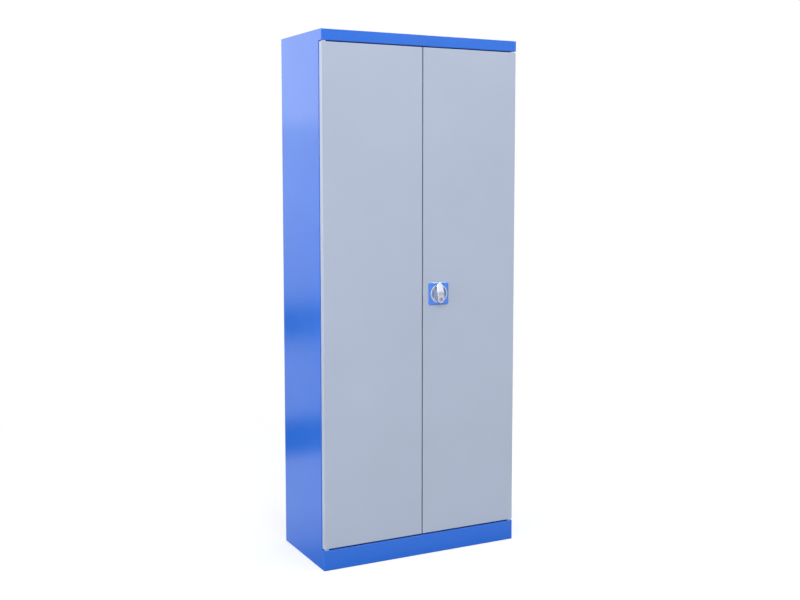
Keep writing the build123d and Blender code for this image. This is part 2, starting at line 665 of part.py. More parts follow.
with BuildPart() as cam_screw:
    with BuildSketch(handle_plane(CAM_BACK)):
        RegularPolygon(SCREW_CORNER_RADIUS, 6)
    extrude(amount=-SCREW_HEAD_HEIGHT)
pieces["cam_screw"] = cam_screw


# ----------------------------------------------------------------- rods and side bolt
def lock_rod(rod_x, pin_z, tip_z):
    """Flat bar from beside the cam to a door's end, with a slot for its cam pin."""
    outward = 1 if tip_z > pin_z else -1
    heel_z = pin_z - outward * (CAM_SLOT_WIDTH / 2 + 7.0)
    half = ROD_WIDTH / 2
    with BuildPart() as rod:
        with BuildSketch(Plane.XZ.offset(ROD_FRONT - ROD_THICKNESS)):
            with BuildLine():
                Polyline(
                    (rod_x - half, heel_z),
                    (rod_x + half, heel_z),
                    (rod_x + half, tip_z - outward * 2 * ROD_TIP_TAPER),
                    (rod_x + half - ROD_TIP_TAPER, tip_z),
                    (rod_x - half + ROD_TIP_TAPER, tip_z),
                    (rod_x - half, tip_z - outward * 2 * ROD_TIP_TAPER),
                    close=True,
                )
            make_face()
            with Locations((rod_x, pin_z)):
                Rectangle(CAM_SLOT_LENGTH, CAM_SLOT_WIDTH, mode=Mode.SUBTRACT)
        extrude(amount=ROD_THICKNESS)
    return rod


pieces["lock_rod_top"] = lock_rod(TOP_ROD_X, HANDLE_Z - CAM_PIN_OFFSET, DOOR_TOP - ROD_REST_MARGIN)
pieces["lock_rod_bottom"] = lock_rod(BOTTOM_ROD_X, HANDLE_Z + CAM_PIN_OFFSET, DOOR_BOTTOM + ROD_REST_MARGIN)

BOLT_HEEL = 9.0  # the bolt runs on this far past its cam pin

with BuildPart() as side_bolt:
    bolt_tip = DOOR_INNER + SHEET / 2
    bolt_end = HANDLE_X + CAM_PIN_OFFSET + BOLT_HEEL
    with BuildSketch(Plane.XZ.offset(BOLT_FRONT - BOLT_THICKNESS)):
        with Locations(((bolt_tip + bolt_end) / 2, BOLT_Z)):
            Rectangle(bolt_end - bolt_tip, BOLT_HEIGHT)
        with Locations((HANDLE_X + CAM_PIN_OFFSET, BOLT_Z)):
            Rectangle(CAM_SLOT_WIDTH, CAM_SLOT_LENGTH, mode=Mode.SUBTRACT)
    extrude(amount=BOLT_THICKNESS)
    tip_edges = side_bolt.edges().filter_by(Axis.Y).group_by(Axis.X)[0]
    chamfer(tip_edges, length=3.0)
pieces["side_bolt"] = side_bolt

# ------------------------------------------------------ nylon guides for rods and bolt
GUIDE_LENGTH = 20.0
GUIDE_WALL = 5.0
TOP_GUIDE_ZS = (1120.0, 1480.0, 1860.0)
BOTTOM_GUIDE_ZS = (864.0, 504.0, 124.0)
rod_guide_back = ROD_FRONT - ROD_THICKNESS - GUIDE_CLEARANCE - 1.4
rod_guide_front = -FRONT - SHEET


def rod_guides(rod_x, heights):
    """Blocks screwed to the inside of the door's sheet, each with a rod's channel."""
    with BuildPart() as guides:
        with BuildSketch(Plane.XZ.offset(rod_guide_back)):
            with Locations(*[(rod_x, z) for z in heights]):
                Rectangle(ROD_WIDTH + 2 * GUIDE_WALL, GUIDE_LENGTH)
        extrude(amount=rod_guide_front - rod_guide_back)
        with Locations(*[(rod_x, ROD_Y, z) for z in heights]):
            Box(
                ROD_WIDTH + 2 * GUIDE_CLEARANCE,
                ROD_THICKNESS + 2 * GUIDE_CLEARANCE,
                2 * GUIDE_LENGTH,
                mode=Mode.SUBTRACT,
            )
    return guides


pieces["rod_guides_top"] = rod_guides(TOP_ROD_X, TOP_GUIDE_ZS)
pieces["rod_guides_bottom"] = rod_guides(BOTTOM_ROD_X, BOTTOM_GUIDE_ZS)

BOLT_GUIDE_X = 14.5
BOLT_GUIDE_LENGTH = 18.0
bolt_guide_back = BOLT_FRONT - BOLT_THICKNESS - GUIDE_CLEARANCE - 1.6

with BuildPart() as bolt_guide:
    with BuildSketch(Plane.XZ.offset(bolt_guide_back)):
        with Locations((BOLT_GUIDE_X, BOLT_Z)):
            Rectangle(BOLT_GUIDE_LENGTH, BOLT_HEIGHT + 2 * GUIDE_WALL)
    extrude(amount=rod_guide_front - bolt_guide_back)
    with Locations((BOLT_GUIDE_X, BOLT_Y, BOLT_Z)):
        Box(
            2 * GUIDE_LENGTH,
            BOLT_THICKNESS + 2 * GUIDE_CLEARANCE,
            BOLT_HEIGHT + 2 * GUIDE_CLEARANCE,
            mode=Mode.SUBTRACT,
        )
pieces["bolt_guide"] = bolt_guide

# ------------------------------------------------------------------------ write it all
os.makedirs("parts", exist_ok=True)
for name, piece in pieces.items():
    piece.part.label = name
    export_step(piece.part, f"parts/{name}.step")

print("pieces", len(pieces))
print("rod travel", round(ROD_TRAVEL, 3), "cam pin offset", round(CAM_PIN_OFFSET, 3))
print("rods at x", round(TOP_ROD_X, 3), round(BOTTOM_ROD_X, 3), "bolt at z", round(BOLT_Z, 3))
print("shelf tops", [z + CLIP_RISE + SHELF_EDGE for z in SHELF_SLOTS])
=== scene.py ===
# %% [markdown]
# # A tall sheet-steel tool cabinet
#
# The cabinet is folded from sheet steel and powder coated: a glossy blue carcass and two light
# blue-grey doors, shut with a turning handle in a blue plastic plate. Every solid comes from the
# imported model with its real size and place. This lesson gives each of them a finish, models the
# small cast and moulded pieces again with softer edges, and lights the whole as in a studio.

# %% Load the frame
import json
from math import cos, pi, radians, sin

import bmesh
import bpy
from mathutils import Matrix, Vector


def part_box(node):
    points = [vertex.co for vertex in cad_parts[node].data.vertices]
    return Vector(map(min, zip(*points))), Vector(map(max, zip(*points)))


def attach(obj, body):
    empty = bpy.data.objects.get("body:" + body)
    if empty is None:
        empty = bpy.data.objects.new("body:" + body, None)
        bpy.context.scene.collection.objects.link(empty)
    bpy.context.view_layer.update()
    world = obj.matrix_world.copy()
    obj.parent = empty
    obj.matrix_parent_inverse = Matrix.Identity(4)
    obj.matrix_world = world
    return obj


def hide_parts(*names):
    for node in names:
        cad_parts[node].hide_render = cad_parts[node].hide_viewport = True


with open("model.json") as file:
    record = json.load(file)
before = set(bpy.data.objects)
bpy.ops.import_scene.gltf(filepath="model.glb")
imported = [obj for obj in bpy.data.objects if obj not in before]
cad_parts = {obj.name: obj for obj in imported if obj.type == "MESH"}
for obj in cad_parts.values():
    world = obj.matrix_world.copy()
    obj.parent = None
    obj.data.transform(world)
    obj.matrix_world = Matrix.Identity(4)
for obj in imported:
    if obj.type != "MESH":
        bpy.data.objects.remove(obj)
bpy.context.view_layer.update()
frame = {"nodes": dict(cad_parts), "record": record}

nodes = frame["nodes"]
MM = 0.001

# %% [markdown]
# ## The camera
#
# The photographer stood in front and to the left, at chest height, and looked slightly down. A
# camera can be aimed with a Track To constraint or by its own axes. The axes are worked out here
# from two angles, because then the tiny roll of the picture can be added. The lens is shifted,
# since the photograph was cropped a little off the point that the camera looked at.

# %% Camera
CAMERA_PLACE = Vector((-1.923, -3.947, 1.460))
CAMERA_TURN = 0.4965  # radians to the right of +Y
CAMERA_PITCH = -0.0933  # radians, negative downwards
CAMERA_ROLL = 0.0035  # radians
SENSOR_WIDTH = 36.0  # millimetres, as the next
FOCAL_LENGTH = 51.104
LENS_SHIFT_X, LENS_SHIFT_Y = -0.06, -0.03  # as shares of the picture's width

ahead = Vector((
    sin(CAMERA_TURN) * cos(CAMERA_PITCH),
    cos(CAMERA_TURN) * cos(CAMERA_PITCH),
    sin(CAMERA_PITCH),
))
level_right = Vector((cos(CAMERA_TURN), -sin(CAMERA_TURN), 0))
level_up = level_right.cross(ahead)
right = cos(CAMERA_ROLL) * level_right + sin(CAMERA_ROLL) * level_up
up = cos(CAMERA_ROLL) * level_up - sin(CAMERA_ROLL) * level_right

bpy.ops.object.camera_add(location=CAMERA_PLACE)
camera = bpy.context.active_object
camera.name = "camera"
camera.rotation_euler = Matrix((right, up, -ahead)).transposed().to_euler()
camera.data.sensor_width = SENSOR_WIDTH
camera.data.lens = FOCAL_LENGTH
camera.data.shift_x = LENS_SHIFT_X
camera.data.shift_y = LENS_SHIFT_Y
bpy.context.scene.camera = camera
print("camera looks along", [round(v, 3) for v in ahead])

# %% [markdown]
# ## Studio
#
# A product photograph on white has a pale floor without a visible end. The floor is a plane that
# is partly lit and partly shines by itself for the camera, so it comes out white and still keeps
# the soft shadow under the cabinet. Glossy paint shows its surroundings, so what a reflection
# sees matters as much as the lamps: the floor has two darker strips behind the cabinet and one at
# its foot that only reflections see, as from the ends of the paper and the room around it.

# %% Node helper
def node(tree, kind, inputs=None, **settings):
    """Adds a node, sets its properties, and fills its sockets with values or links."""
    made = tree.nodes.new(kind)
    for name, value in settings.items():
        setattr(made, name, value)
    for name, value in (inputs or {}).items():
        if isinstance(value, bpy.types.NodeSocket):
            tree.links.new(value, made.inputs[name])
        else:
            made.inputs[name].default_value = value
    return made


def colour(red, green, blue):
    return (red, green, blue, 1.0)


WHITE = colour(1, 1, 1)

# %% Floor
FLOOR_SIZE = 80.0
FLOOR_GREY = colour(0.55, 0.55, 0.55)
FLOOR_OWN_LIGHT = 0.52
FADE_START, FADE_END = 1.2, 3.0  # metres from the cabinet where the lit floor turns plain white

# How bright the floor looks in the paint, by its distance behind the cabinet's middle, in metres.
REFLECTED_FLOOR = (
    (-1.0, 0.9), (-0.5, 0.8),
    (-0.22, 0.4), (-0.18, 0.1), (0.03, 0.28), (0.15, 0.5), (0.3, 0.61), (0.6, 0.77),
    (1.34, 0.76), (1.56, 0.03), (2.1, 0.03), (2.42, 0.64),
    (4.0, 0.68), (5.0, 0.6), (5.5, 0.04), (7.0, 0.04), (8.2, 0.72),
    (12.0, 0.8), (25.0, 0.95),
)

bpy.ops.mesh.primitive_plane_add(size=FLOOR_SIZE, location=(0, 0, 0))
floor = bpy.context.active_object
floor.name = "floor"

floor_paper = bpy.data.materials.new("white paper floor")
floor_paper.use_nodes = True
tree = floor_paper.node_tree
tree.nodes.clear()
ray = node(tree, "ShaderNodeLightPath").outputs
place = node(tree, "ShaderNodeTexCoord").outputs["Object"]

distance = node(tree, "ShaderNodeVectorMath", {0: place}, operation="LENGTH").outputs["Value"]
fade_range = {"Value": distance, "From Min": FADE_START, "From Max": FADE_END}
fade = node(tree, "ShaderNodeMapRange", fade_range, interpolation_type="SMOOTHSTEP")
paper = node(tree, "ShaderNodeBsdfDiffuse", {"Color": FLOOR_GREY})
own_light = node(tree, "ShaderNodeEmission", {"Color": WHITE, "Strength": FLOOR_OWN_LIGHT})
near_paper = node(tree, "ShaderNodeAddShader", {0: paper.outputs[0], 1: own_light.outputs[0]})
plain_white = node(tree, "ShaderNodeEmission", {"Color": WHITE, "Strength": 1.0})
fading = {0: fade.outputs[0], 1: near_paper.outputs[0], 2: plain_white.outputs[0]}
to_camera = node(tree, "ShaderNodeMixShader", fading)

nearest, furthest = REFLECTED_FLOOR[0][0], REFLECTED_FLOOR[-1][0]
depth = node(tree, "ShaderNodeSeparateXYZ", {0: place}).outputs["Y"]
behind = node(tree, "ShaderNodeMapRange", {"Value": depth, "From Min": nearest, "From Max": furthest})
strips = node(tree, "ShaderNodeValToRGB", {0: behind.outputs[0]})
ramp = strips.color_ramp
ramp.elements.remove(ramp.elements[0])
for count, (spot, shade) in enumerate(REFLECTED_FLOOR):
    share = (spot - nearest) / (furthest - nearest)
    stop = ramp.elements.new(share) if count else ramp.elements[0]
    stop.position = share
    stop.color = colour(shade, shade, shade)
in_paint = node(tree, "ShaderNodeEmission", {"Color": strips.outputs[0], "Strength": 1.0})
glossy = {0: ray["Is Glossy Ray"], 1: paper.outputs[0], 2: in_paint.outputs[0]}
to_others = node(tree, "ShaderNodeMixShader", glossy)
sorted_rays = {0: ray["Is Camera Ray"], 1: to_others.outputs[0], 2: to_camera.outputs[0]}
shown = node(tree, "ShaderNodeMixShader", sorted_rays)
node(tree, "ShaderNodeOutputMaterial", {0: shown.outputs[0]})
floor.data.materials.append(floor_paper)
print("floor", FLOOR_SIZE, "m wide, with", len(ramp.elements), "stops in its reflection")

# %% World
ROOM_LIGHT = 0.62
ROOM_TINT = colour(0.97, 0.985, 1.0)
GLOSS_TINT = colour(0.95, 0.97, 1.0)
GLOSS_IN_FRONT, GLOSS_BEHIND = 0.62, 1.12  # brightness of the room in reflections
FRONT_ENDS, BACK_STARTS = -0.9, 0.6  # Y of the directions between which it rises

world = bpy.data.worlds.new("white room")
bpy.context.scene.world = world
world.use_nodes = True
tree = world.node_tree
tree.nodes.clear()
ray = node(tree, "ShaderNodeLightPath").outputs
clear_view = {0: ray["Is Camera Ray"], 1: ray["Is Transmission Ray"]}
seen = node(tree, "ShaderNodeMath", clear_view, operation="MAXIMUM")
room_light = node(tree, "ShaderNodeBackground", {"Color": ROOM_TINT, "Strength": ROOM_LIGHT})
direction = node(tree, "ShaderNodeTexCoord").outputs["Generated"]
depth = node(tree, "ShaderNodeSeparateXYZ", {0: direction}).outputs["Y"]
towards_back = node(tree, "ShaderNodeMapRange", {
    "Value": depth, "From Min": FRONT_ENDS, "From Max": BACK_STARTS,
    "To Min": GLOSS_IN_FRONT, "To Max": GLOSS_BEHIND,
})
in_gloss = {"Color": GLOSS_TINT, "Strength": towards_back.outputs[0]}
room_gloss = node(tree, "ShaderNodeBackground", in_gloss)
backdrop = node(tree, "ShaderNodeBackground", {"Color": WHITE, "Strength": 1.0})
glossy = {0: ray["Is Glossy Ray"], 1: room_light.outputs[0], 2: room_gloss.outputs[0]}
room = node(tree, "ShaderNodeMixShader", glossy)
sorted_rays = {0: seen.outputs[0], 1: room.outputs[0], 2: backdrop.outputs[0]}
shown = node(tree, "ShaderNodeMixShader", sorted_rays)
node(tree, "ShaderNodeOutputWorld", {0: shown.outputs[0]})
print("room light", ROOM_LIGHT, "and", GLOSS_IN_FRONT, "to", GLOSS_BEHIND, "in reflections")


# %% Lamps
def softbox(name, place, target, width, height, power):
    """Rectangular lamp at place that faces target, in metres and watts."""
    bpy.ops.object.light_add(type="AREA", location=place)
    lamp = bpy.context.active_object
    lamp.name = name
    lamp.data.shape = "RECTANGLE"
    lamp.data.size, lamp.data.size_y = width, height
    lamp.data.energy = power
    lamp.rotation_euler = (Vector(place) - Vector(target)).to_track_quat("Z", "Y").to_euler()
    print("lamp", name, power, "W")


softbox("key above the front", (-0.8, -4.2, 4.6), (0, 0, 1.3), 3.0, 2.0, 111)
softbox("fill from the left", (-4.8, -0.6, 2.0), (0, 0, 1.0), 2.4, 2.4, 101)
softbox("front right", (2.4, -3.9, 3.3), (0.1, -0.2, 1.1), 1.8, 1.8, 7)
softbox("overhead", (2.8, -0.8, 6.4), (0.1, -0.2, 1.0), 1.9, 1.1, 85)
softbox("strip behind on the left", (-2.3, 4.7, 2.75), (-0.4, 0, 1.5), 2.4, 1.9, 9)


# %% [markdown]
# ## Finishes
#
# Powder paint is a thick plastic skin, melted on. It is glossy but not flat: at a step away it has
# the fine dimples that painters call orange peel, and the sheet under it is never quite even. A
# flat colour would look like paper, so each paint mixes three patterns: tiny dimples as bump, a
# slow wave of the sheet as a second bump, and a faint change of colour and gloss.

# %% Finish helpers
def finish(name):
    """New material with its node tree, its shader and its Object coordinates."""
    material = bpy.data.materials.new(name)
    material.use_nodes = True
    tree = material.node_tree
    tree.nodes.clear()
    shader = node(tree, "ShaderNodeBsdfPrincipled")
    node(tree, "ShaderNodeOutputMaterial", {0: shader.outputs[0]})
    where = node(tree, "ShaderNodeTexCoord").outputs["Object"]
    return material, tree, shader, where


def noise(tree, where, scale, detail, **inputs):
    """Fac output of a noise pattern, whose scale is in clouds per metre."""
    settings = {"Vector": where, "Scale": scale, "Detail": detail, **inputs}
    return node(tree, "ShaderNodeTexNoise", settings).outputs["Fac"]


def tinted(base, factor):
    """A colour made darker or lighter by a factor."""
    return colour(*(min(1.0, factor * channel) for channel in base[:3]))


def blend_colours(tree, share, first, second):
    """Mix of two colours. A Mix node takes them in its sockets 6 and 7, and gives out socket 2."""
    return node(tree, "ShaderNodeMix", {0: share, 6: first, 7: second}, data_type="RGBA").outputs[2]


# %% Powder paint
CLOUD_SCALE = 3.0  # per metre, as the other scales
SMEAR_SCALE = 14.0
WAVE_SCALE = 2.2
DIMPLE_SCALE = 700.0
PAINT_DARKEST, PAINT_LIGHTEST = 0.94, 1.04  # factors of the paint's colour
SMEAR_LOW, SMEAR_HIGH = 0.3, 0.7
GLOSS_SPREAD = 0.03
WAVE_STRENGTH, WAVE_HEIGHT = 0.15, 4 * MM
PEEL_STRENGTH, PEEL_HEIGHT = 0.05, 0.3 * MM
PAINT_IOR = 1.5


def powder_paint(name, base, gloss):
    """Melted powder paint: base is its colour, gloss its mean roughness."""
    material, tree, shader, where = finish(name)
    cloud = noise(tree, where, CLOUD_SCALE, detail=3.0)
    darkest, lightest = tinted(base, PAINT_DARKEST), tinted(base, PAINT_LIGHTEST)
    colours = blend_colours(tree, cloud, darkest, lightest)
    tree.links.new(colours, shader.inputs["Base Color"])
    smear = noise(tree, where, SMEAR_SCALE, detail=4.0)
    rough = node(tree, "ShaderNodeMapRange", {
        "Value": smear, "From Min": SMEAR_LOW, "From Max": SMEAR_HIGH,
        "To Min": gloss - GLOSS_SPREAD, "To Max": gloss + GLOSS_SPREAD,
    })
    tree.links.new(rough.outputs[0], shader.inputs["Roughness"])
    wave = noise(tree, where, WAVE_SCALE, detail=1.0)
    slow_bump = {"Height": wave, "Strength": WAVE_STRENGTH, "Distance": WAVE_HEIGHT}
    slow = node(tree, "ShaderNodeBump", slow_bump)
    dimples = noise(tree, where, DIMPLE_SCALE, detail=1.5, Roughness=0.4)
    fine = node(tree, "ShaderNodeBump", {
        "Height": dimples, "Strength": PEEL_STRENGTH, "Distance": PEEL_HEIGHT,
        "Normal": slow.outputs[0],
    })
    tree.links.new(fine.outputs[0], shader.inputs["Normal"])
    shader.inputs["IOR"].default_value = PAINT_IOR
    return material


BLUE = colour(0.023, 0.165, 0.74)
BLUE_GREY = colour(0.46, 0.52, 0.655)

carcass_paint = powder_paint("gloss blue powder paint", BLUE, 0.16)
door_paint = powder_paint("light blue-grey powder paint", BLUE_GREY, 0.34)
shelf_paint = powder_paint("light blue-grey shelf paint", BLUE_GREY, 0.36)
print("paints", carcass_paint.name, "/", door_paint.name, "/", shelf_paint.name)

# %% Metals, nylon, rubber and plastic
METAL_DARKEST = 0.86  # factor of the metal's colour
METAL_GLOSS_LESS, METAL_GLOSS_MORE = 0.06, 0.08  # roughness taken off and added by the grain
METAL_GRAIN = 0.08
GRAIN_HEIGHT = 0.2 * MM
SPOT_SCALE, PATCH_SCALE = 900.0, 60.0  # per metre
MOULDED_DARKEST = 0.92
MOULDED_GLOSS_SPREAD = 0.04


def metal(name, base, gloss, grain_scale):
    """Metal with a faint grain in its colour, its gloss and its surface."""
    material, tree, shader, where = finish(name)
    grain = noise(tree, where, grain_scale, detail=4.0)
    colours = blend_colours(tree, grain, tinted(base, METAL_DARKEST), base)
    tree.links.new(colours, shader.inputs["Base Color"])
    rough = node(tree, "ShaderNodeMapRange", {
        "Value": grain, "To Min": gloss - METAL_GLOSS_LESS, "To Max": gloss + METAL_GLOSS_MORE,
    })
    tree.links.new(rough.outputs[0], shader.inputs["Roughness"])
    relief = {"Height": grain, "Strength": METAL_GRAIN, "Distance": GRAIN_HEIGHT}
    bump = node(tree, "ShaderNodeBump", relief)
    tree.links.new(bump.outputs[0], shader.inputs["Normal"])
    shader.inputs["Metallic"].default_value = 1.0
    return material


def moulded(name, base, gloss, grain=0.06):
    """Moulded plastic or rubber with a fine matte grain."""
    material, tree, shader, where = finish(name)
    spots = noise(tree, where, SPOT_SCALE, detail=2.0)
    patches = noise(tree, where, PATCH_SCALE, detail=2.0)
    colours = blend_colours(tree, patches, tinted(base, MOULDED_DARKEST), base)
    tree.links.new(colours, shader.inputs["Base Color"])
    rough = node(tree, "ShaderNodeMapRange", {
        "Value": patches,
        "To Min": gloss - MOULDED_GLOSS_SPREAD, "To Max": gloss + MOULDED_GLOSS_SPREAD,
    })
    tree.links.new(rough.outputs[0], shader.inputs["Roughness"])
    relief = {"Height": spots, "Strength": grain, "Distance": GRAIN_HEIGHT}
    bump = node(tree, "ShaderNodeBump", relief)
    tree.links.new(bump.outputs[0], shader.inputs["Normal"])
    return material


zinc_plate = metal("zinc plate", colour(0.60, 0.63, 0.67), 0.34, 90.0)
# The silver's and the nickel's colours are tinted blue. This is a painted reflection of cool
# surroundings, put into the metals' own colour.
satin_chrome = metal("satin silver casting", colour(0.72, 0.77, 0.90), 0.25, 260.0)
bright_chrome = metal("turned nickel", colour(0.50, 0.53, 0.66), 0.22, 400.0)
pale_nylon = moulded("pale nylon", colour(0.74, 0.76, 0.79), 0.5)
rubber = moulded("black rubber", colour(0.03, 0.03, 0.032), 0.7)
blue_plastic = moulded("blue gloss plastic", colour(0.075, 0.26, 0.86), 0.16, grain=0.02)

finishes = {
    "carcass_paint": carcass_paint, "door_paint": door_paint, "shelf_paint": shelf_paint,
    "zinc_plate": zinc_plate, "satin_chrome": satin_chrome, "bright_chrome": bright_chrome,
    "pale_nylon": pale_nylon, "rubber": rubber, "blue_plastic": blue_plastic,
}
slot_of = {part["node"]: part["material_slot"] for part in frame["record"]["subparts"]}
for name, piece in nodes.items():
    piece.data.materials.clear()
    piece.data.materials.append(finishes[slot_of[name]])
print("finishes", len(finishes), "on", len(nodes), "nodes")

# %% [markdown]
# ## Modelling tools
#
# The small cast, turned and moulded pieces are modelled again here, because their soft edges
# catch the light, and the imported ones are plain. They are shaped as by hand: a primitive is added
# at its size and place, edited, and finished with modifiers. An operator acts on all that is
# selected, so each piece starts with nothing selected, and its parts are picked by their place.

# %% Modelling tools
TOLERANCE = 0.01 * MM
MERGE_DISTANCE = 0.001 * MM
THROUGH = 20 * MM  # length of a tool that cuts right through a piece
UPRIGHT = (pi / 2, 0, 0)  # turns a primitive's own axis along Y
SHARP_LIMIT = 35  # degrees, above which an edge is bevelled and shaded sharp


def put_down():
    """Closes the open piece and deselects everything."""
    if bpy.context.mode != "OBJECT":
        bpy.ops.object.mode_set(mode="OBJECT")
    bpy.ops.object.select_all(action="DESELECT")


def only(piece):
    """Selects one piece and nothing else."""
    put_down()
    piece.select_set(True)
    bpy.context.view_layer.objects.active = piece


def start(name):
    """Names the primitive just added, puts its place into its mesh and opens it for editing."""
    piece = bpy.context.active_object
    piece.name = piece.data.name = name
    bpy.ops.object.transform_apply(location=True, rotation=True, scale=True)
    bpy.ops.object.mode_set(mode="EDIT")
    return piece


def pick(piece, kind, test):
    """Selects only the vertices, edges or faces of the open piece for which test is true."""
    bpy.ops.mesh.select_mode(type=kind)
    bpy.ops.mesh.select_all(action="DESELECT")
    form = bmesh.from_edit_mesh(piece.data)
    for part in {"VERT": form.verts, "EDGE": form.edges, "FACE": form.faces}[kind]:
        if test(part):
            part.select_set(True)
    form.select_flush_mode()
    bmesh.update_edit_mesh(piece.data)


def modify(piece, kind, **settings):
    """Adds a modifier to a piece and applies it."""
    only(piece)
    modifier = piece.modifiers.new(kind, kind)
    for name, value in settings.items():
        setattr(modifier, name, value)
    bpy.ops.object.modifier_apply(modifier=modifier.name)


def combine(piece, tool, how):
    """Takes the tool's shape out of the piece, or adds it, with how DIFFERENCE or UNION."""
    modify(piece, "BOOLEAN", operation=how, solver="EXACT", object=tool)
    bpy.data.objects.remove(tool)


body_of = {
    name: body
    for body, names in frame["record"]["behaviour"]["bodies"].items()
    for name in names
}


def dress(piece, slot, body, smooth=SHARP_LIMIT):
    """Shades a modelled piece, gives it a finish and lets it ride with a body."""
    only(piece)
    bpy.ops.object.shade_smooth_by_angle(angle=radians(smooth))
    piece.data.materials.clear()
    piece.data.materials.append(finishes[slot])
    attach(piece, body)


def finish_piece(piece, node_name, smooth=SHARP_LIMIT):
    """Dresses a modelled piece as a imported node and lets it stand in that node's place."""
    dress(piece, slot_of[node_name], body_of[node_name], smooth)
    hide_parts(node_name)
    print(piece.name, len(piece.data.polygons), "faces for", node_name)


def near(value, wanted):
    return abs(value - wanted) < TOLERANCE


def lies_at(edge, y):
    """Whether an edge lies wholly at one Y, as the outline of a front or back face does."""
    return all(near(end.co.y, y) for end in edge.verts)


# %% [markdown]
# ## The handle's plate
#
# A square of glossy blue plastic, clamped between the bowl and the door. It could be drawn as an
# outline and filled. A cube is quicker: its four short edges become the round corners, its front
# outline a sloping rim with a soft edge, and a cylinder cuts the hole for the bowl.

# %% Handle plate
PLATE_CORNER = 9 * MM
PLATE_EDGE = 2.7 * MM
PLATE_SOFTENING = 0.5 * MM
PLATE_HOLE = 32.6 * MM
ROUND_SIDES = 96

plate_low, plate_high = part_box("handle_plate")
handle = (plate_low + plate_high) / 2  # on the handle's axis


def rims_front(edge):
    """Whether an edge joins the flat front face to a face that isn't part of it."""
    return sorted(near(face.normal.y, -1) for face in edge.link_faces) == [False, True]


put_down()
bpy.ops.mesh.primitive_cube_add(size=1, location=handle, scale=plate_high - plate_low)
plate = start("plate_moulded")
pick(plate, "EDGE", lambda edge: not near(edge.verts[0].co.y, edge.verts[1].co.y))
bpy.ops.mesh.bevel(offset=PLATE_CORNER, segments=10, affect="EDGES")
pick(plate, "EDGE", lambda edge: lies_at(edge, plate_low.y))
bpy.ops.mesh.bevel(offset=PLATE_EDGE, segments=1, affect="EDGES")
pick(plate, "EDGE", rims_front)
bpy.ops.mesh.bevel(offset=PLATE_SOFTENING, segments=3, affect="EDGES")
put_down()
bpy.ops.mesh.primitive_cylinder_add(
    vertices=ROUND_SIDES, radius=PLATE_HOLE, depth=THROUGH, location=handle, rotation=UPRIGHT
)
combine(plate, bpy.context.active_object, "DIFFERENCE")
finish_piece(plate, "handle_plate")

# %% [markdown]
# ## Turned shapes
#
# The bowl and the lock's barrel are round about one axis. Such a shape could be spun from its
# profile in one go. Here a circle is extruded and resized from ring to ring, as it is done by
# hand, and the last ring is merged with the first.

# %% Turned shape
def turned(name, centre, profile):
    """Ring round a line along Y; profile lists (radius, Y) all the way round its wall."""
    (radius, y), *steps = profile
    put_down()
    bpy.ops.mesh.primitive_circle_add(
        vertices=ROUND_SIDES, radius=radius, location=(centre.x, y, centre.z), rotation=UPRIGHT
    )
    piece = start(name)
    for next_radius, next_y in [*steps, profile[0]]:
        bpy.ops.mesh.extrude_region_move()
        bpy.ops.transform.translate(value=(0, next_y - y, 0))
        grow = next_radius / radius
        bpy.ops.transform.resize(value=(grow, 1, grow), center_override=(centre.x, next_y, centre.z))
        radius, y = next_radius, next_y
    bpy.ops.mesh.select_all(action="SELECT")
    bpy.ops.mesh.remove_doubles(threshold=MERGE_DISTANCE)
    bpy.ops.mesh.normals_make_consistent(inside=False)
    return piece


def quarter(centre_radius, centre_y, size, first_angle, last_angle, steps=6):
    """Points of a quarter turn in a profile, from first_angle to last_angle in degrees."""
    angles = [radians(first_angle + (last_angle - first_angle) * n / steps) for n in range(steps + 1)]
    return [(centre_radius + size * cos(angle), centre_y + size * sin(angle)) for angle in angles]


# %% [markdown]
# ## The bowl
#
# A silver casting like a small dish. Its rim is a bead that lies on the plate, and its floor meets
# its wall in a round hollow, so that fingers find no corner there. The round stretches of its
# profile are quarter turns, and the hole in its floor takes the shank of the grip.

# %% Bowl
NECK_HOLE = 8.05 * MM
BOWL_OUTSIDE = 32.5 * MM
BOWL_INSIDE = 30.5 * MM
BOWL_FLOOR = 2.0 * MM
BOWL_HOLLOW = 6.5 * MM
RIM_BEAD = 0.85 * MM

bowl_low, bowl_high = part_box("handle_bowl")
rim_radius = (bowl_high.x - bowl_low.x) / 2
bead_y = bowl_low.y + RIM_BEAD
floor_y = bowl_high.y - BOWL_FLOOR
bowl = turned("bowl_cast", handle, [
    (NECK_HOLE, bowl_high.y),
    (BOWL_OUTSIDE, bowl_high.y),
    (BOWL_OUTSIDE, plate_low.y),
    (rim_radius, plate_low.y),
    *quarter(rim_radius - RIM_BEAD, bead_y, RIM_BEAD, 0, -90),
    *quarter(BOWL_INSIDE + RIM_BEAD, bead_y, RIM_BEAD, -90, -180),
    *quarter(BOWL_INSIDE - BOWL_HOLLOW, floor_y - BOWL_HOLLOW, BOWL_HOLLOW, 0, 90),
    (NECK_HOLE, floor_y),
])
finish_piece(bowl, "handle_bowl")

# %% [markdown]
# ## The grip
#
# One silver casting for the fingers, with a round lower end that holds the lock. From the middle
# up, its front slopes back to the plate's edge. Its outline is a slot: a cylinder, whose upper
# half is moved away from its lower half. The slope is cut by a plane and blended, the front's
# outline is rounded, and a narrower slot and a shank join it to the lock's works in the door.

# %% Grip
GRIP_BACK = -206.4 * MM
GRIP_SLOPE_START = 4.0 * MM  # above the handle's axis
GRIP_TIP = 4.0 * MM  # thickness left at the top
GRIP_BLEND = 11.0 * MM
GRIP_EDGE = 3.0 * MM
FOOT_HALF_LENGTH = 27.0 * MM
FOOT_HALF_WIDTH = 10.5 * MM
FOOT_BACK = -194.6 * MM
FOOT_EDGE = 1.2 * MM
SHANK = 8.0 * MM  # radius
SHANK_LENGTH = 5.0 * MM
SLOT_SIDES = 62  # not a multiple of four, so that no corner lies halfway up

grip_low, grip_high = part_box("handle_grip")
lock_low, lock_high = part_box("lock_barrel")
lock = (lock_low + lock_high) / 2


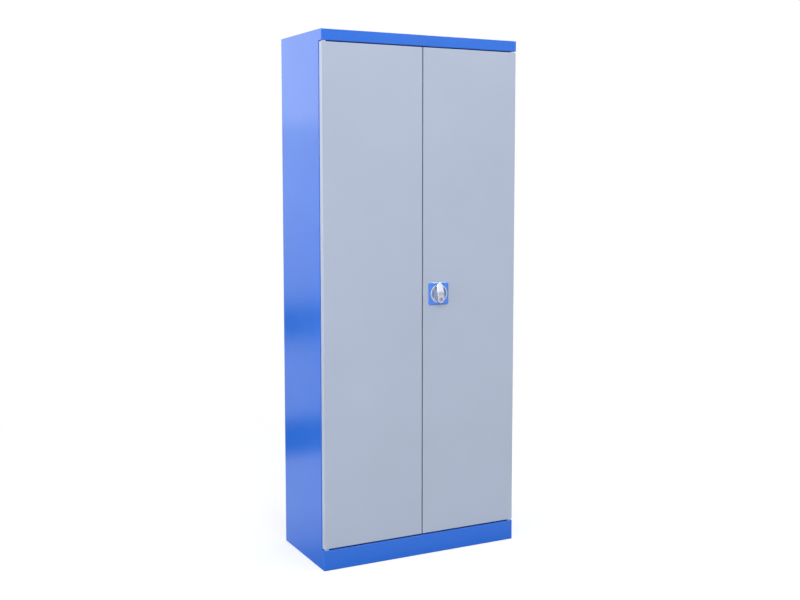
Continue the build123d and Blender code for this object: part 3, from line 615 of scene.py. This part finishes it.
def slot_block(name, half_width, bottom, top, front, back):
    """Upright block with round ends, from front to back in Y."""
    end_z = bottom + half_width
    put_down()
    bpy.ops.mesh.primitive_cylinder_add(
        vertices=SLOT_SIDES, radius=half_width, depth=back - front,
        location=(handle.x, (front + back) / 2, end_z), rotation=UPRIGHT,
    )
    block = start(name)
    pick(block, "VERT", lambda corner: corner.co.z > end_z)
    bpy.ops.transform.translate(value=(0, 0, top - half_width - end_z))
    return block


half_width = (grip_high.x - grip_low.x) / 2
grip = slot_block("grip_cast", half_width, grip_low.z, grip_high.z, grip_low.y, GRIP_BACK)
slope_z = handle.z + GRIP_SLOPE_START
slope = Vector((0, GRIP_BACK - GRIP_TIP - grip_low.y, grip_high.z - slope_z))
bpy.ops.mesh.select_all(action="SELECT")
bpy.ops.mesh.bisect(
    plane_co=(handle.x, grip_low.y, slope_z), plane_no=(0, -slope.z, slope.y),
    use_fill=True, clear_outer=True,
)


def tops_slope(edge):
    """Whether an edge is the crease between the flat front and the slope."""
    return lies_at(edge, grip_low.y) and all(near(end.co.z, slope_z) for end in edge.verts)


pick(grip, "EDGE", tops_slope)
bpy.ops.mesh.bevel(offset=GRIP_BLEND, segments=8, affect="EDGES")
pick(grip, "EDGE", lambda edge: sorted(face.normal.y < -0.5 for face in edge.link_faces) == [False, True])
bpy.ops.mesh.bevel(offset=GRIP_EDGE, segments=7, affect="EDGES")

foot_bottom, foot_top = handle.z - FOOT_HALF_LENGTH, handle.z + FOOT_HALF_LENGTH
foot = slot_block("foot", FOOT_HALF_WIDTH, foot_bottom, foot_top, GRIP_BACK - GRIP_TIP / 2, FOOT_BACK)
pick(foot, "EDGE", lambda edge: lies_at(edge, FOOT_BACK))
bpy.ops.mesh.bevel(offset=FOOT_EDGE, segments=4, affect="EDGES")
combine(grip, foot, "UNION")

put_down()
bpy.ops.mesh.primitive_cylinder_add(
    vertices=ROUND_SIDES, radius=SHANK, depth=SHANK_LENGTH,
    location=(handle.x, grip_high.y - SHANK_LENGTH / 2, handle.z), rotation=UPRIGHT,
)
combine(grip, bpy.context.active_object, "UNION")

lock_radius = (lock_high.x - lock_low.x) / 2
put_down()
bpy.ops.mesh.primitive_cylinder_add(
    vertices=ROUND_SIDES, radius=lock_radius, depth=2 * (lock_high.y - grip_low.y),
    location=(lock.x, grip_low.y, lock.z), rotation=UPRIGHT,
)
combine(grip, bpy.context.active_object, "DIFFERENCE")
finish_piece(grip, "handle_grip")

# %% [markdown]
# ## The lock
#
# A nickel barrel set in the grip, and in it the plug that the key turns. The barrel is a turned
# ring with a rounded rim. The plug is a cylinder with a bevelled face, and its keyway is a slot
# with a narrower ward beside it, cut by two small blocks.

# %% Lock
PLUG_BORE = 5.55 * MM
PLUG_SIDES = 48
BARREL_EDGE = 0.6 * MM
BORE_EDGE = 0.35 * MM
KEYWAY_TOOL = 18 * MM  # half of it cuts into the plug
KEYWAY = (0, 1.5 * MM, 7.5 * MM)  # offset, width and height
WARD = (0.9 * MM, 1.2 * MM, 3.0 * MM)

barrel = turned("barrel_turned", lock, [
    (PLUG_BORE, lock_high.y),
    (lock_radius, lock_high.y),
    *quarter(lock_radius - BARREL_EDGE, lock_low.y + BARREL_EDGE, BARREL_EDGE, 0, -90, steps=4),
    (PLUG_BORE + BORE_EDGE, lock_low.y),
    (PLUG_BORE, lock_low.y + BORE_EDGE),
])
finish_piece(barrel, "lock_barrel")

plug_low, plug_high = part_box("lock_plug")
plug_middle = (plug_low + plug_high) / 2
put_down()
bpy.ops.mesh.primitive_cylinder_add(
    vertices=PLUG_SIDES, radius=(plug_high.x - plug_low.x) / 2, depth=plug_high.y - plug_low.y,
    location=plug_middle, rotation=UPRIGHT,
)
plug = start("plug_turned")
pick(plug, "EDGE", lambda edge: lies_at(edge, plug_low.y))
bpy.ops.mesh.bevel(offset=BORE_EDGE, segments=3, affect="EDGES")
for offset, width, height in (KEYWAY, WARD):
    put_down()
    bpy.ops.mesh.primitive_cube_add(
        size=1, location=(plug_middle.x + offset, plug_low.y, plug_middle.z - offset),
        scale=(width, KEYWAY_TOOL, height),
    )
    combine(plug, bpy.context.active_object, "DIFFERENCE")
finish_piece(plug, "lock_plug")

# %% [markdown]
# ## The ring nut
#
# It screws on the bowl's wall behind the door's sheet and clamps plate, door and bowl together. A
# cylinder with six sides is the hexagon, its edges are broken by a bevel, and its thread's hole
# is cut last, so that the bevel leaves it sharp.

# %% Ring nut
NUT_EDGE = 0.7 * MM

nut_low, nut_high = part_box("handle_ring_nut")
nut_middle = (nut_low + nut_high) / 2
put_down()
bpy.ops.mesh.primitive_cylinder_add(
    vertices=6, radius=(nut_high.z - nut_low.z) / 2, depth=nut_high.y - nut_low.y,
    location=nut_middle, rotation=UPRIGHT,
)
ring_nut = start("ring_nut_cut")
bpy.ops.mesh.select_all(action="SELECT")
bpy.ops.mesh.bevel(offset=NUT_EDGE, segments=3, affect="EDGES")
put_down()
bpy.ops.mesh.primitive_cylinder_add(
    vertices=ROUND_SIDES, radius=BOWL_OUTSIDE, depth=THROUGH, location=nut_middle, rotation=UPRIGHT
)
combine(ring_nut, bpy.context.active_object, "DIFFERENCE")
finish_piece(ring_nut, "handle_ring_nut")

# %% [markdown]
# ## Door buffers
#
# Soft rubber studs that the doors close against. A cylinder's front edge is bevelled so far that
# it becomes a dome, and the stud is copied once within its mesh and moved to the other door.

# %% Door buffers
BUFFER_SIDES = 32
BUFFER_DOME = 2.6 * MM

buffer_low, buffer_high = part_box("door_buffers")
buffer_middle = (buffer_low + buffer_high) / 2
buffer_radius = (buffer_high.z - buffer_low.z) / 2
put_down()
bpy.ops.mesh.primitive_cylinder_add(
    vertices=BUFFER_SIDES, radius=buffer_radius, depth=buffer_high.y - buffer_low.y,
    location=(buffer_low.x + buffer_radius, buffer_middle.y, buffer_middle.z), rotation=UPRIGHT,
)
buffers = start("buffers_rubber")
pick(buffers, "EDGE", lambda edge: lies_at(edge, buffer_low.y))
bpy.ops.mesh.bevel(offset=BUFFER_DOME, segments=6, affect="EDGES")
bpy.ops.mesh.select_all(action="SELECT")
bpy.ops.mesh.duplicate_move()
bpy.ops.transform.translate(value=(buffer_high.x - buffer_low.x - 2 * buffer_radius, 0, 0))
finish_piece(buffers, "door_buffers")

# %% [markdown]
# ## Stamped and moulded parts with broken edges
#
# Rods, bolt, strikes, plates, pins, bushes and guides have the right shape already, with edges as
# sharp as a knife. Real ones are tumbled or moulded. Each is copied, the flat normals that came
# with it are cleared, its loose triangles are merged into whole faces, and a bevel breaks the
# sharp edges. Normals weighted by the faces' area then keep the flat faces flat beside them.

# %% Broken edges
def merged_copy(node_name):
    """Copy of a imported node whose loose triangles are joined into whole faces."""
    piece = bpy.data.objects.new(f"{node_name}_finished", nodes[node_name].data.copy())
    bpy.context.collection.objects.link(piece)
    only(piece)
    bpy.ops.mesh.customdata_custom_splitnormals_clear()
    bpy.ops.object.mode_set(mode="EDIT")
    bpy.ops.mesh.select_all(action="SELECT")
    bpy.ops.mesh.remove_doubles(threshold=MERGE_DISTANCE)
    bpy.ops.mesh.dissolve_limited(angle_limit=radians(1))
    return piece


def weigh_normals(piece):
    """Averages the normals by the faces' area, on each side of a sharp edge by itself."""
    modify(piece, "WEIGHTED_NORMAL", keep_sharp=True, weight=100)


def break_edges(node_name, width):
    """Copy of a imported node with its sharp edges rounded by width."""
    piece = merged_copy(node_name)
    limit = radians(SHARP_LIMIT)
    modify(piece, "BEVEL", width=width, segments=3, limit_method="ANGLE", angle_limit=limit)
    finish_piece(piece, node_name)
    weigh_normals(piece)


BROKEN_EDGES = (  # widths in millimetres
    ("hinge_plates", 0.6), ("hinge_pins", 0.8), ("strike_top", 0.6), ("strike_bottom", 0.6),
    ("bolt_keeper", 0.5), ("door_left_bushes", 0.5), ("door_right_bushes", 0.5),
    ("rod_guides_top", 0.8), ("rod_guides_bottom", 0.8), ("bolt_guide", 0.8),
    ("lock_rod_top", 0.4), ("lock_rod_bottom", 0.4), ("side_bolt", 0.4), ("cam_plate", 0.4),
    ("cam_pins", 0.4), ("cam_screw", 0.4), ("drive_spindle", 0.3), ("shelf_clips_1", 0.25),
    ("shelf_clips_2", 0.25), ("shelf_clips_3", 0.25), ("shelf_clips_4", 0.25),
)
for node_name, width in BROKEN_EDGES:
    break_edges(node_name, width * MM)

# %% [markdown]
# ## Guide screws
#
# Small pan-head screws hold the nylon guides to the door. One screw head is modelled: a cylinder
# with a rounded front edge and a cross recess. Its copies have meshes of their own, and the
# screws of one node are joined into one piece, because they ride on the same door.

# %% Guide screws
SCREW_SIDES = 32
SCREW_HEAD = 2.1 * MM  # radius
SCREW_HEIGHT = 1.1 * MM
SCREW_ROUNDING = 0.7 * MM
CROSS_LENGTH, CROSS_WIDTH, CROSS_DEPTH = 2.4 * MM, 0.6 * MM, 1.2 * MM
GUIDE_SCREW_INSET = 2.4 * MM  # from a guide's side to its screw


def screw_head(place):
    """Pan head on a face that looks backwards, at place."""
    put_down()
    bpy.ops.mesh.primitive_cylinder_add(
        vertices=SCREW_SIDES, radius=SCREW_HEAD, depth=SCREW_HEIGHT,
        location=place + Vector((0, SCREW_HEIGHT / 2, 0)), rotation=UPRIGHT,
    )
    head = start("screw_head")
    pick(head, "EDGE", lambda edge: lies_at(edge, place.y + SCREW_HEIGHT))
    bpy.ops.mesh.bevel(offset=SCREW_ROUNDING, segments=4, affect="EDGES")
    for size in ((CROSS_LENGTH, CROSS_DEPTH, CROSS_WIDTH), (CROSS_WIDTH, CROSS_DEPTH, CROSS_LENGTH)):
        put_down()
        bpy.ops.mesh.primitive_cube_add(size=1, location=place + Vector((0, SCREW_HEIGHT, 0)), scale=size)
        combine(head, bpy.context.active_object, "DIFFERENCE")
    return head


def fasten(name, node_name, places):
    """Screw heads at several places, joined into one piece that rides with a node."""
    first = screw_head(places[0])
    heads = [first]
    for place in places[1:]:
        copy = first.copy()
        copy.data = first.data.copy()
        bpy.context.collection.objects.link(copy)
        only(copy)
        bpy.ops.transform.translate(value=place - places[0])
        bpy.ops.object.transform_apply(location=True, rotation=False, scale=False)
        heads.append(copy)
    put_down()
    for head in heads:
        head.select_set(True)
    bpy.context.view_layer.objects.active = first
    bpy.ops.object.join()
    first.name = first.data.name = name
    dress(first, "zinc_plate", body_of[node_name])
    print(name, len(places), "screws")


def guide_heights(node_name):
    """Middle height of each guide of a node, from the levels at which their corners lie."""
    levels = sorted({round(corner.co.z, 5) for corner in nodes[node_name].data.vertices})
    return [(bottom + top) / 2 for bottom, top in zip(levels[::2], levels[1::2])]


for node_name in ("rod_guides_top", "rod_guides_bottom"):
    low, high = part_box(node_name)
    sides = (low.x + GUIDE_SCREW_INSET, high.x - GUIDE_SCREW_INSET)
    places = [Vector((x, high.y, z)) for z in guide_heights(node_name) for x in sides]
    fasten(f"{node_name}_screws", node_name, places)

low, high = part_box("bolt_guide")
middle_x = (low.x + high.x) / 2
ends = (low.z + GUIDE_SCREW_INSET, high.z - GUIDE_SCREW_INSET)
fasten("bolt_guide_screws", "bolt_guide", [Vector((middle_x, high.y, z)) for z in ends])

# %% [markdown]
# ## Spot welds
#
# Each door's stiffener is welded on at rows of spots along its two brims, and every spot keeps the
# round flat-bottomed dent of the electrode. It could be a bump in the paint, which shows no edge
# from close by. Here one small cylinder with a bevelled end is repeated by Array modifiers, first
# up the brim and then across, and a single boolean cuts all the dents.

# %% Spot welds
ELECTRODE_SIDES = 24
WELD_RADIUS = 3.5 * MM
WELD_DEPTH = 0.45 * MM
WELD_WALL = 0.4 * MM
WELD_ROWS = 14
WELD_END = 20 * MM  # from the stiffener's end to the first dent
WELD_INSET = 6 * MM  # from the brim's edge to the dents
STIFFENER_SHEET = 1 * MM


def weld_dents(piece, node_name):
    """Cuts the rows of dents into both brims of a stiffener."""
    low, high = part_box(node_name)
    brim_y = low.y + STIFFENER_SHEET
    put_down()
    bpy.ops.mesh.primitive_cylinder_add(
        vertices=ELECTRODE_SIDES, radius=WELD_RADIUS, depth=2 * WELD_DEPTH,
        location=(low.x + WELD_INSET, brim_y, low.z + WELD_END), rotation=UPRIGHT,
    )
    electrode = start("electrode")
    pick(electrode, "EDGE", lambda edge: lies_at(edge, brim_y - WELD_DEPTH))
    bpy.ops.mesh.bevel(offset=WELD_WALL, segments=1, affect="EDGES")
    step_up = (high.z - low.z - 2 * WELD_END) / (WELD_ROWS - 1)
    step_across = high.x - low.x - 2 * WELD_INSET
    for count, step in ((WELD_ROWS, (0, 0, step_up)), (2, (step_across, 0, 0))):
        modify(
            electrode, "ARRAY", count=count, use_relative_offset=False,
            use_constant_offset=True, constant_offset_displace=step,
        )
    combine(piece, electrode, "DIFFERENCE")
    print(node_name, 2 * WELD_ROWS, "weld dents")


# %% [markdown]
# ## Folded sheets
#
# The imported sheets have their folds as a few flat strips, which glossy paint shows as stripes. A
# finer mesh would smooth them, but shading does it at no cost: each sheet is copied and merged,
# and its normals are averaged over the folds by the faces' area, so that the wide faces stay flat.
# Where two folds meet at a corner, the edge between them is a mitre and stays sharp.

# %% Folded sheets
FOLD_LIMIT = 20  # degrees, above which an edge is a cut or a mitre and stays sharp


def smooth_folds(node_name):
    """Copy of a packed sheet whose folds are shaded round."""
    piece = merged_copy(node_name)
    if node_name.endswith("stiffener"):
        weld_dents(piece, node_name)
    finish_piece(piece, node_name, smooth=FOLD_LIMIT)
    weigh_normals(piece)


for node_name in nodes:
    if slot_of[node_name] in ("carcass_paint", "door_paint", "shelf_paint"):
        smooth_folds(node_name)

# %% [markdown]
# ## The end
#
# The view transform is Standard, so a colour comes out as it is written.

# %% Finish
bpy.context.scene.view_settings.view_transform = "Standard"
